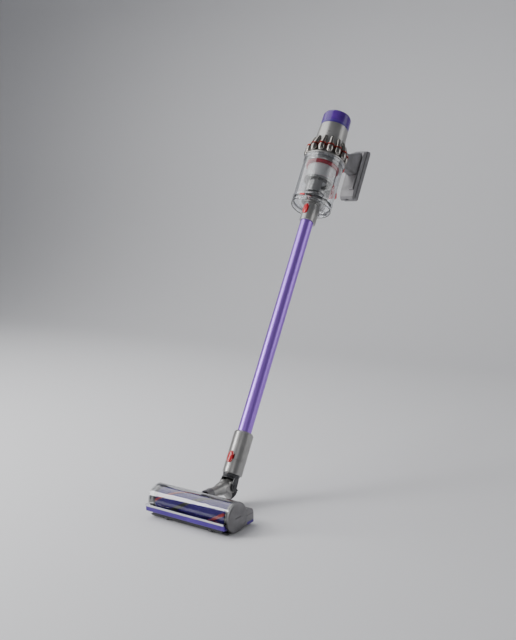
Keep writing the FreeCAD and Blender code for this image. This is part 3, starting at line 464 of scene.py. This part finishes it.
class StageSettings(bpy.types.PropertyGroup):
    """Camera and floor."""

    lens: bpy.props.FloatProperty(
        name="Lens", description="Focal length", default=44.1, min=10, unit="CAMERA")
    camera_place: bpy.props.FloatVectorProperty(
        name="Camera", description="Where the camera stands", default=(1.1715, -1.466, 0.727), subtype="XYZ",
        unit="LENGTH")
    camera_target: bpy.props.FloatVectorProperty(
        name="Target", description="What the camera looks at", default=(0.102, 0.070, 0.4885), subtype="XYZ",
        unit="LENGTH")
    camera_roll: bpy.props.FloatProperty(
        name="Roll", description="Camera's turn about its own view", default=math.radians(-0.4),
        subtype="ANGLE")
    floor_colour: bpy.props.FloatVectorProperty(
        name="Floor", description="Colour of the floor and the backdrop", default=linear(PAPER)[:3],
        subtype="COLOR")


def studio_camera(settings):
    data = bpy.data.cameras.new("studio_camera")
    data.lens, data.sensor_width = settings.lens, SENSOR_WIDTH
    camera = bpy.data.objects.new("studio_camera", data)
    place, target = Vector(settings.camera_place), Vector(settings.camera_target)
    turn = (target - place).to_track_quat("-Z", "Y").to_matrix().to_4x4()
    roll = Matrix.Rotation(settings.camera_roll, 4, "Z")
    camera.matrix_world = Matrix.Translation(place) @ turn @ roll
    return camera


def studio_sweep(colour):
    """A plain floor that bends up into the backdrop, in metres."""
    front, back, bend, top, half_width = -14.0, 2.2, 1.4, 5.0, 16
    turns = [i * math.pi / 24 for i in range(1, 13)]
    rows = [(front, 0.0), (back, 0.0)]
    rows += [(back + bend * math.sin(a), bend - bend * math.cos(a)) for a in turns]
    rows += [(back + bend, top)]
    sweep = bmesh.new()
    strips = [[sweep.verts.new((x, y, z)) for x in (-half_width, half_width)] for y, z in rows]
    for low, high in zip(strips, strips[1:]):
        sweep.faces.new((low[0], low[1], high[1], high[0])).smooth = True
    mesh = bpy.data.meshes.new("studio_sweep")
    sweep.to_mesh(mesh)
    sweep.free()
    finish = Finish("studio_paper", PAPER, 0.75)
    finish.shader.inputs["Base Color"].default_value = (*colour, 1)
    finish.relief(finish.mottle(3, 2), 0.05, 0.1)
    mesh.materials.append(finish.material)
    return bpy.data.objects.new("studio_sweep", mesh)


def area_light(name, place, target, size, power):
    """A rectangular panel of light, in metres and watts."""
    data = bpy.data.lights.new(name, "AREA")
    data.shape = "RECTANGLE"
    data.size, data.size_y = size
    data.energy = power
    light = bpy.data.objects.new(name, data)
    light.location = place
    light.rotation_euler = (Vector(target) - Vector(place)).to_track_quat("-Z", "Y").to_euler()
    bpy.context.scene.collection.objects.link(light)


class BuildStage(bpy.types.Operator):
    """Places the camera, the plain floor and the soft studio lights."""

    bl_idname = "stick_vacuum.build_stage"
    bl_label = "Build stage"

    def execute(self, context):
        settings = context.scene.stick_vacuum_stage
        camera = studio_camera(settings)
        context.scene.collection.objects.link(camera)
        context.scene.camera = camera
        floor = studio_sweep(settings.floor_colour)
        context.scene.collection.objects.link(floor)

        middle = (0, 0.3, 0.55)
        # The wide panel overhead is what the upper half of the clear brush cover mirrors.
        area_light("overhead_panel", (-1.9, -0.7, 2.6), (-1.9, -0.7, 0), (3.0, 4.4), 95)
        area_light("left_key", (-2.0, -1.6, 1.3), middle, (0.7, 2.4), 62)
        area_light("front_fill", (1.7, -2.6, 1.3), middle, (1.6, 1.6), 10)
        area_light("right_edge", (2.2, 1.6, 1.2), middle, (1.4, 2.0), 14)
        world = bpy.data.worlds.new("studio_air")
        world.use_nodes = True
        background = world.node_tree.nodes["Background"]
        background.inputs["Color"].default_value = linear("#c4c6cc")
        background.inputs["Strength"].default_value = 0.27
        context.scene.world = world
        return {"FINISHED"}


SHOWN_AS = {"neck_arm": "abs_satin_grey"}  # the arm's skin has the cuff's satin finish


class FinishFrame(bpy.types.Operator):
    """Gives every carried-over part its real finish."""

    bl_idname = "stick_vacuum.finish_frame"
    bl_label = "Finish the parts"

    def execute(self, context):
        for entry in frame["record"]["subparts"]:
            mesh = NODES[entry["node"]].data
            material = finish_for(SHOWN_AS.get(entry["node"], entry["material_slot"]))
            if not mesh.materials:
                mesh.materials.append(material)
            for index in range(len(mesh.materials)):
                mesh.materials[index] = material
        return {"FINISHED"}


# ------------------------------------------------------------------ brush bar


class BrushSettings(bpy.types.PropertyGroup):
    """Pile and bristles of the brush bar, in metres."""

    length: bpy.props.FloatProperty(
        name="Length", description="Length of the pile", default=0.210, unit="LENGTH")
    root: bpy.props.FloatProperty(
        name="Root radius", description="Radius that the pile grows from", default=0.0288, unit="LENGTH")
    pile: bpy.props.FloatProperty(
        name="Pile", description="Height of the pile", default=0.0028, unit="LENGTH")
    tuft_density: bpy.props.FloatProperty(
        name="Density", description="Pile tufts to a square metre", default=380000.0, min=0)
    twist: bpy.props.FloatProperty(
        name="Twist", description="How far a bristle row turns along the bar", default=math.radians(-225),
        subtype="ANGLE")


BRISTLE_SUNK = 0.0016  # how far a bristle's base stands under the pile's root, in metres


def pile_recipe(settings):
    """Short leaning tufts all over a drum."""
    recipe = Recipe("pile", radius=settings.root, length=settings.length, tuft_height=settings.pile,
                    tuft_width=0.0007, density=settings.tuft_density, seed=7)
    given = recipe.given
    drum = recipe.add("GeometryNodeMeshCylinder", fill_type="NONE", inputs={
        "Vertices": 96, "Radius": given["Radius"], "Depth": given["Length"]})
    spots = add_node(recipe.tree, "GeometryNodeDistributePointsOnFaces", {
        "Mesh": drum, "Density": given["Density"], "Seed": given["Seed"]})
    tuft = recipe.add("GeometryNodeMeshCone", fill_type="NONE", inputs={
        "Vertices": 3, "Radius Top": 0.0001, "Radius Bottom": given["Tuft width"],
        "Depth": given["Tuft height"]})
    lean = recipe.add("FunctionNodeRandomValue", data_type="FLOAT_VECTOR", inputs={
        0: (-0.5, -0.5, -3.1), 1: (0.5, 0.5, 3.1), "Seed": given["Seed"]})
    turn = recipe.add("FunctionNodeRotateRotation", rotation_space="LOCAL", inputs={
        "Rotation": spots.outputs["Rotation"], "Rotate By": lean})
    grown = recipe.add("FunctionNodeRandomValue", 1, data_type="FLOAT", inputs={
        2: 0.6, 3: 1.15, "Seed": given["Seed"]})
    recipe.finish(recipe.add("GeometryNodeInstanceOnPoints", inputs={
        "Points": spots.outputs["Points"], "Instance": tuft, "Rotation": turn, "Scale": grown}))
    return recipe


def bristle_recipe(name, settings, **sizes):
    """Two bands of bristle tufts, each several rows wide, that climb round the drum."""
    root = settings.root - BRISTLE_SUNK
    recipe = Recipe(name, length=settings.length, twist=settings.twist, root=root, **sizes)
    given = recipe.given
    index = recipe.add("GeometryNodeInputIndex")
    row = recipe.math("FLOOR", recipe.math("DIVIDE", index, given["Tufts"]))
    step = recipe.math("DIVIDE", recipe.math("MODULO", index, given["Tufts"]), given["Tufts"])
    band = recipe.math("FLOOR", recipe.math("DIVIDE", row, given["Rows"]))
    across = recipe.math("MULTIPLY", recipe.math("MODULO", row, given["Rows"]), given["Spacing"])
    wobble = recipe.add("FunctionNodeRandomValue", 1, data_type="FLOAT", inputs={
        2: -0.02, 3: 0.02, "Seed": 3})
    angle = recipe.math("MULTIPLY_ADD", step, given["Twist"], given["Start"])
    angle = recipe.math("MULTIPLY_ADD", band, given["Second band"], angle)
    angle = recipe.math("ADD", recipe.math("ADD", angle, across), wobble)
    reach = recipe.math("MULTIPLY", recipe.math("SUBTRACT", step, 0.5), given["Length"])
    outward = recipe.add("ShaderNodeCombineXYZ", inputs={
        "X": recipe.math("COSINE", angle), "Y": recipe.math("SINE", angle)})
    ground = recipe.add("ShaderNodeVectorMath", operation="SCALE", inputs={
        0: outward, "Scale": given["Root"]})
    place = recipe.add("ShaderNodeVectorMath", operation="ADD", inputs={
        0: ground, 1: recipe.add("ShaderNodeCombineXYZ", inputs={"Z": reach})})
    count = recipe.math("MULTIPLY", recipe.math("MULTIPLY", given["Tufts"], given["Rows"]), 2)
    line = recipe.add("GeometryNodeMeshLine", inputs={"Count": count})
    spots = recipe.add("GeometryNodeSetPosition", inputs={"Geometry": line, "Position": place})
    upright = recipe.add("FunctionNodeAlignRotationToVector", axis="Z", inputs={"Vector": outward})
    tuft = recipe.add("GeometryNodeMeshCone", inputs={
        "Vertices": 5, "Radius Top": given["Tip"], "Radius Bottom": given["Stem"], "Depth": given["Height"]})
    recipe.finish(recipe.add("GeometryNodeInstanceOnPoints", inputs={
        "Points": spots, "Instance": tuft, "Rotation": upright}))
    return recipe


class BuildBrush(bpy.types.Operator):
    """Grows the soft pile, the stiff red bristles and the fine dark filaments of the brush bar."""

    bl_idname = "stick_vacuum.build_brush"
    bl_label = "Build brush bar"

    def execute(self, context):
        settings = context.scene.stick_vacuum_brush
        axes = along_head(BRUSH_AXIS.z)
        pile_recipe(settings).grow("brush_pile", empty_mesh("drum"), "brush_bar", "plush_purple", axes)
        red = bristle_recipe(
            "bristle_bands", settings, tufts=118, rows=5, spacing=math.radians(1.8), tip=0.0009, stem=0.0007,
            height=0.0050, start=math.radians(161.4), second_band=math.radians(-150))
        red.grow("red_bristle_bands", empty_mesh("bands"), "brush_bar", "bristle_red", axes)
        dark = bristle_recipe(
            "filament_bands", settings, tufts=150, rows=8, spacing=math.radians(2.0), tip=0.0004, stem=0.0006,
            height=0.0048, start=math.radians(243), second_band=math.radians(-180))
        dark.grow("dark_filament_bands", empty_mesh("bands"), "brush_bar", "carbon_black", axes)
        return {"FINISHED"}


# ------------------------------------------------------------------ cyclones and shroud


def ring_recipe(name, count, radius=0.0, gap_middle=-1.0, gap_half=0.5):
    """Copies of the base mesh on a ring about Z, with a gap where the grip stands."""
    recipe = Recipe(name, count=count, radius=radius, gap_middle=gap_middle, gap_half=gap_half)
    given = recipe.given
    index = recipe.add("GeometryNodeInputIndex")
    away = recipe.math("ABSOLUTE", recipe.math("SUBTRACT", index, given["Gap middle"]))
    shown = recipe.math("GREATER_THAN", away, given["Gap half"])
    turn = recipe.math("DIVIDE", recipe.math("MULTIPLY", index, math.tau), given["Count"])
    points = recipe.add("GeometryNodeMeshCircle", inputs={
        "Vertices": given["Count"], "Radius": given["Radius"]})
    recipe.finish(recipe.add("GeometryNodeInstanceOnPoints", inputs={
        "Points": points, "Selection": shown, "Instance": given["Geometry"],
        "Rotation": recipe.add("ShaderNodeCombineXYZ", inputs={"Z": turn})}))
    return recipe


def sleeve_recipe(name, radius, height, around, rows, open_share):
    """A thin sleeve whose every cell has a hole through it."""
    recipe = Recipe(name, around=around, rows=rows, radius=radius, height=height, open_share=open_share)
    given = recipe.given
    sleeve = recipe.add("GeometryNodeMeshCylinder", fill_type="NONE", inputs={
        "Vertices": given["Around"], "Side Segments": given["Rows"], "Radius": given["Radius"],
        "Depth": given["Height"]})
    cells = add_node(recipe.tree, "GeometryNodeExtrudeMesh", {
        "Mesh": sleeve, "Offset Scale": 0.0, "Individual": True})
    shrunk = recipe.add("GeometryNodeScaleElements", domain="FACE", inputs={
        "Geometry": cells.outputs["Mesh"], "Selection": cells.outputs["Top"], "Scale": given["Open share"]})
    recipe.finish(recipe.add("GeometryNodeDeleteGeometry", domain="FACE", inputs={
        "Geometry": shrunk, "Selection": cells.outputs["Top"]}))
    return recipe


# Sizes of the cyclones and the shroud, in millimetres; heights run along the stick from the pitch pin.
CONES = 14
CONE_RING = 55.0
CONE_LOW = 986.0
CONE_PROFILE = (  # (radius, height above CONE_LOW)
    (0, -14), (2.6, -13.8), (5.4, -12.6), (7.6, -10.2), (9.2, -6.6), (10.2, -2.4), (10.5, 1), (10.3, 4.4),
    (9.5, 7.8), (8.3, 10.4), (7.4, 12), (0, 12),
)
FINGER_RINGS = (  # (distance out, height above CONE_LOW, radius)
    (54.0, 13.8, 8.6), (53.4, 17, 8.2), (52.5, 22, 7.5), (50.6, 29, 6.9), (48.5, 36, 6.3), (46.6, 41.4, 5.8),
    (45.8, 44.2, 5.1), (45.2, 46.2, 3.6), (44.9, 47.2, 1.8), (44.8, 47.5, 0),
)
SHROUD_RADIUS, SHROUD_LOW, SHROUD_HIGH = 41.8, 902.3, 941.7


class BuildCyclones(bpy.types.Operator):
    """Turns the polished cyclone cones with their outlet fingers, and the perforated shroud."""

    bl_idname = "stick_vacuum.build_cyclones"
    bl_label = "Build cyclones"

    def execute(self, context):
        cones = ring_recipe("cone_ring", CONES)
        profile = [(radius, CONE_LOW + height) for radius, height in CONE_PROFILE]
        bulb = lathe("bulb", profile, 32, shift=(CONE_RING, 0))
        bulbs = cones.grow("cyclone_bulbs", bulb, "main_body", "chrome_cyclone", STICK)
        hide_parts("cyclone_cones")

        # The two fingers that the grip would cut into, the fourth and the fifth, are left out.
        fingers = ring_recipe("finger_ring", CONES, gap_middle=3.5, gap_half=0.6)
        rings = []
        for out, height, radius in FINGER_RINGS:
            rings.append((Matrix.Translation(Vector((out, 0, CONE_LOW + height)) * MM), radius * MM))
        finger = ringed_mesh("finger", rings, 28)
        outlets = fingers.grow("outlet_fingers", finger, "main_body", "chrome_cyclone", STICK)
        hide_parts("cyclone_fingers")

        height = (SHROUD_HIGH - SHROUD_LOW) * MM
        sleeve = sleeve_recipe("shroud_sleeve", radius=SHROUD_RADIUS * MM, height=height, around=150, rows=24,
                               open_share=0.42)
        place = STICK @ Matrix.Translation((0, 0, (SHROUD_LOW + SHROUD_HIGH) / 2 * MM))
        shroud = sleeve.grow("shroud_sleeve", empty_mesh("sleeve"), "main_body", "mesh_steel", place)
        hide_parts("shroud_mesh")
        return {"FINISHED"}


# ------------------------------------------------------------------ neck hose


class HoseSettings(bpy.types.PropertyGroup):
    """The bellows between the neck arm and the cuff."""

    bend: bpy.props.FloatProperty(
        name="Bend", description="Radius of the hose's bend", default=0.0215, unit="LENGTH")
    root: bpy.props.FloatProperty(
        name="Root radius", description="Radius between the ribs", default=0.0125, unit="LENGTH")
    rib: bpy.props.FloatProperty(name="Rib", description="Height of a rib", default=0.0040, unit="LENGTH")
    ribs: bpy.props.IntProperty(name="Ribs", description="Number of ribs", default=5, min=2)


HOSE_TURN = (math.radians(-90), math.radians(-30))  # from under the arm round to the cuff
STEPS_TO_A_RIB = 8
RIB_FULLNESS = 0.7  # under 1 makes the ribs' crests broader than their roots
HOSE_WALL = 0.001


class BuildHose(bpy.types.Operator):
    """Sweeps the corrugated hose round the pitch pin, from under the arm up to the cuff."""

    bl_idname = "stick_vacuum.build_hose"
    bl_label = "Build neck hose"

    def execute(self, context):
        settings = context.scene.stick_vacuum_hose
        first, last = HOSE_TURN
        steps = settings.ribs * STEPS_TO_A_RIB
        rings = []
        for i in range(steps + 1):
            share = i / steps
            angle = first + (last - first) * share
            place = Matrix.Translation(hose_middle(angle, settings.bend)) @ Matrix.Rotation(angle, 4, "X")
            crest = (0.5 - 0.5 * math.cos(math.tau * settings.ribs * share)) ** RIB_FULLNESS
            rings.append((place, settings.root + settings.rib * crest))
        hose = add_piece("neck_hose", ringed_mesh("hose", rings, 44), None, "black_rubber")
        solid = hose.modifiers.new("wall", "SOLIDIFY")
        solid.thickness = HOSE_WALL
        solid.offset = -1
        start, end = (tuple(hose_middle(angle, settings.bend)) for angle in HOSE_TURN)
        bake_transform(hose)
        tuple(start)
        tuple(end)
        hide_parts("neck_bellows")
        return {"FINISHED"}


def hose_middle(angle, bend):
    """The middle of the hose at an angle round the pitch pin."""
    return PITCH_PIN + Vector((0, math.cos(angle), math.sin(angle))) * bend


# ------------------------------------------------------------------ neck shells

# Sizes in millimetres. The arm's rings are (distance back, radius), up to the ball round the pitch pin.
ARM_RINGS = ((28, 13.0), (31, 13.4), (36, 14.4), (41, 15.9), (46, 16.9), (51, 17.4), (58, 17.5), (66, 17.4))
BALL_BACK = 77
BALL_RADIUS = 17.3
# The skirt's rings are (height along the stick, radius, offset backwards, rise to the front), up the
# inside after the outside. The front edge rises to leave room for the arm when the stick stands upright.
SKIRT_RINGS = (
    (30.0, 22.9, 1.6, 0), (27, 22.6, 1.6, 0), (22, 21.4, 1.4, 0), (18.9, 19.9, 1.0, 0.11),
    (15.2, 19.0, 0.4, 0.21), (14.1, 18.9, 0.2, 0.24), (13.9, 18.2, 0.2, 0.24), (18.9, 18.4, 0.6, 0.11),
    (24, 18.8, 1.2, 0), (29.6, 19.0, 1.5, 0), (30.0, 22.9, 1.6, 0),
)
EAR_LAYERS = ((18.4, 0.0), (20.4, 0.0), (21.2, 1.2))  # (distance out, how much is trimmed off the edge)
EAR_RADIUS = 12.6
EAR_STEPS = 40
EAR_ROOT = {"front": -9, "back": 11, "high": 21, "out": 20.6}  # where the ear meets the skirt


class BuildNeckShells(bpy.types.Operator):
    """Rounds off the elbow over the arm and hangs the dark skirt of the cuff over it."""

    bl_idname = "stick_vacuum.build_neck_shells"
    bl_label = "Build neck shells"

    def execute(self, context):
        turns = [math.radians(degrees) for degrees in range(-25, 76, 10)]
        ball = [(BALL_BACK + BALL_RADIUS * math.sin(a), BALL_RADIUS * math.cos(a)) for a in turns]
        elbow = [*ARM_RINGS, *ball, (BALL_BACK + BALL_RADIUS, 0)]
        to_back = Matrix.Rotation(math.radians(-90), 4, "X")
        rings = [(Matrix.Translation((0, y * MM, PITCH_PIN.z)) @ to_back, r * MM) for y, r in elbow]
        add_piece("elbow_shell", ringed_mesh("elbow", rings, 48), "neck_arm", "abs_satin_grey")
        rings = []
        for height, radius, offset, rise in SKIRT_RINGS:
            place = Matrix.Translation(Vector((0, offset, height)) * MM)
            place[2][1] = -rise
            rings.append((place, radius * MM))
        cone = add_piece("cuff_skirt", ringed_mesh("skirt", rings, 56), "neck_cuff", "abs_dark_grey", STICK)
        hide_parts("neck_cone")
        for name, side in (("cuff_ear_l", -1), ("cuff_ear_r", 1)):
            add_piece(name, ear_mesh(side), "neck_cuff", "abs_dark_grey", STICK)
        return {"FINISHED"}


def ear_mesh(side):
    """A rounded ear that hangs from the skirt down over the pitch pin."""
    ear = bmesh.new()
    for out, trim in EAR_LAYERS:
        radius = EAR_RADIUS - trim
        for i in range(EAR_STEPS):
            a = math.tau * i / EAR_STEPS
            ear.verts.new(Vector((side * out, radius * math.cos(a), radius * math.sin(a))) * MM)
        for v in (EAR_ROOT["front"] + trim, EAR_ROOT["back"] - trim):
            ear.verts.new(Vector((side * min(out, EAR_ROOT["out"]), v, EAR_ROOT["high"])) * MM)
    bmesh.ops.convex_hull(ear, input=ear.verts)
    return finished_mesh("ear", ear)


# ------------------------------------------------------------------ head trim


class BuildHeadTrim(bpy.types.Operator):
    """Adds the purple skirting and seam round the back of the head, and black pieces of painted shade in the
    gap before the end cap and in the cap's slot.
    """

    bl_idname = "stick_vacuum.build_head_trim"
    bl_label = "Build head trim"

    def execute(self, context):
        skirting = wrapped_band(half_in=124.0, half_out=124.8, y_front=-12.5, y_in=14.1, y_out=14.9)
        add_piece("rear_skirting", band_mesh("skirting", skirting, 7.4, 13.4), "head", "purple_solid")
        axes = along_head(COVER_HIGH)
        # A black ring in the gap between the clear cover and the end cap: painted shade where the gap falls
        # dark.
        gap = [(35.6, 117.4), (36.7, 117.4), (36.7, 118.6), (35.6, 118.6), (35.6, 117.4)]
        add_piece("cap_gap_painted_shade", lathe("gap_painted_shade", gap, 64), "head", "black_rubber", axes)
        # A black plate on the floor of the cap's slot: painted shade in the slot.
        slot = plate_mesh("slot", [(-10.8, -1.0), (10.8, -1.0), (10.8, 1.0), (-10.8, 1.0)], 123.62, 123.95)
        add_piece("cap_slot_painted_shade", slot, "right_cap", "black_rubber", axes)
        seam = wrapped_band(half_in=123.9, half_out=124.15, y_front=-15.0, y_in=14.0, y_out=14.2)
        add_piece("rear_seam", band_mesh("seam", seam, 29.6, 30.5), "head", "abs_dark_grey")
        return {"FINISHED"}


def wrapped_band(half_in, half_out, y_front, y_in, y_out, corner=4.0):
    """Inner and outer (x, y) paths round the two ends and the back of the head, in millimetres."""
    turns = [math.radians(degrees) for degrees in range(0, 91, 15)]
    paths = []
    for half, back in ((half_in, y_in), (half_out, y_out)):
        right = [(half - corner + corner * math.cos(a), back - corner + corner * math.sin(a)) for a in turns]
        paths.append([(half, y_front)] + right + [(-x, y) for x, y in reversed(right)] + [(-half, y_front)])
    return paths


def band_mesh(name, paths, low, high):
    """A closed band between an inner and an outer path and two heights, in millimetres."""
    band = bmesh.new()
    rows = [[band.verts.new(Vector((x, y, z)) * MM) for x, y in path] for path in paths for z in (low, high)]
    inner_low, inner_high, outer_low, outer_high = rows
    loop = [inner_low, inner_high, outer_high, outer_low]
    for i in range(len(inner_low) - 1):
        for a, b in zip(loop, loop[1:] + loop[:1]):
            band.faces.new((a[i], a[i + 1], b[i + 1], b[i]))
    for i in (0, -1):
        band.faces.new([row[i] for row in loop])
    return finished_mesh(name, band)


# ------------------------------------------------------------------ grip details

SCREW_PROFILE = ((0, 0.15), (0.9, 0.15), (1.0, 0.55), (2.1, 0.6), (2.5, 0.2), (2.5, -0.4), (0, -0.4))
SCREW_SPOTS = ((122, 1040), (146, 1046), (146, 1082))  # (distance out, height along the stick)
GRIP_FACE = -17.0
# The outline is (height, distance out) at the joint between the battery's two shells.
JOINT_OUTLINE = ((958, 179.6), (1124, 179.6), (1124, 180.5), (958, 180.5))


class BuildGripDetails(bpy.types.Operator):
    """Sinks the housing screws of the grip and runs the dark joint line down the battery."""

    bl_idname = "stick_vacuum.build_grip_details"
    bl_label = "Build grip details"

    def execute(self, context):
        sideways = Matrix(((0, 0, -1, 0), (0, 1, 0, 0), (1, 0, 0, 0), (0, 0, 0, 1)))
        for number, (out, up) in enumerate(SCREW_SPOTS):
            place = STICK @ Matrix.Translation(Vector((GRIP_FACE, out, up)) * MM) @ sideways
            screw = lathe("screw", SCREW_PROFILE, 20)
            add_piece(f"grip_screw_{number}", screw, "main_body", "bright_steel", place)
        swapped = Matrix(((0, 0, 1, 0), (0, 1, 0, 0), (1, 0, 0, 0), (0, 0, 0, 1)))
        for side, low, high in (("right", 22.0, 23.15), ("left", -23.15, -22.0)):
            line = plate_mesh("joint", JOINT_OUTLINE, low, high)
            line.transform(swapped)
            line.flip_normals()  # swapping two axes mirrors the mesh
            add_piece(f"battery_joint_{side}", line, "main_body", "abs_dark_grey", STICK)
        return {"FINISHED"}


# ------------------------------------------------------------------ panel and registration


class STICKVACUUM_PT_sidebar(bpy.types.Panel):
    """Lists the builders."""

    bl_label = "Stick Vacuum"
    bl_space_type = "VIEW_3D"
    bl_region_type = "UI"
    bl_category = "Stick Vacuum"

    def draw(self, context):
        for builder in BUILDERS:
            self.layout.operator(builder.bl_idname)


SETTINGS = {
    "stick_vacuum_stage": StageSettings,
    "stick_vacuum_brush": BrushSettings,
    "stick_vacuum_hose": HoseSettings,
}
BUILDERS = [
    BuildStage, FinishFrame, BuildBrush, BuildCyclones, BuildHose, BuildNeckShells, BuildHeadTrim,
    BuildGripDetails,
]


def register():
    for group in SETTINGS.values():
        bpy.utils.register_class(group)
    for builder in BUILDERS:
        bpy.utils.register_class(builder)
    bpy.utils.register_class(STICKVACUUM_PT_sidebar)
    for name, group in SETTINGS.items():
        setattr(bpy.types.Scene, name, bpy.props.PointerProperty(type=group))


def unregister():
    for name in SETTINGS:
        delattr(bpy.types.Scene, name)
    bpy.utils.unregister_class(STICKVACUUM_PT_sidebar)
    for builder in reversed(BUILDERS):
        bpy.utils.unregister_class(builder)
    for group in reversed(list(SETTINGS.values())):
        bpy.utils.unregister_class(group)


def main():
    register()
    for builder in BUILDERS:
        group, name = builder.bl_idname.split(".")
        getattr(getattr(bpy.ops, group), name)()


if __name__ == "__main__":
    main()
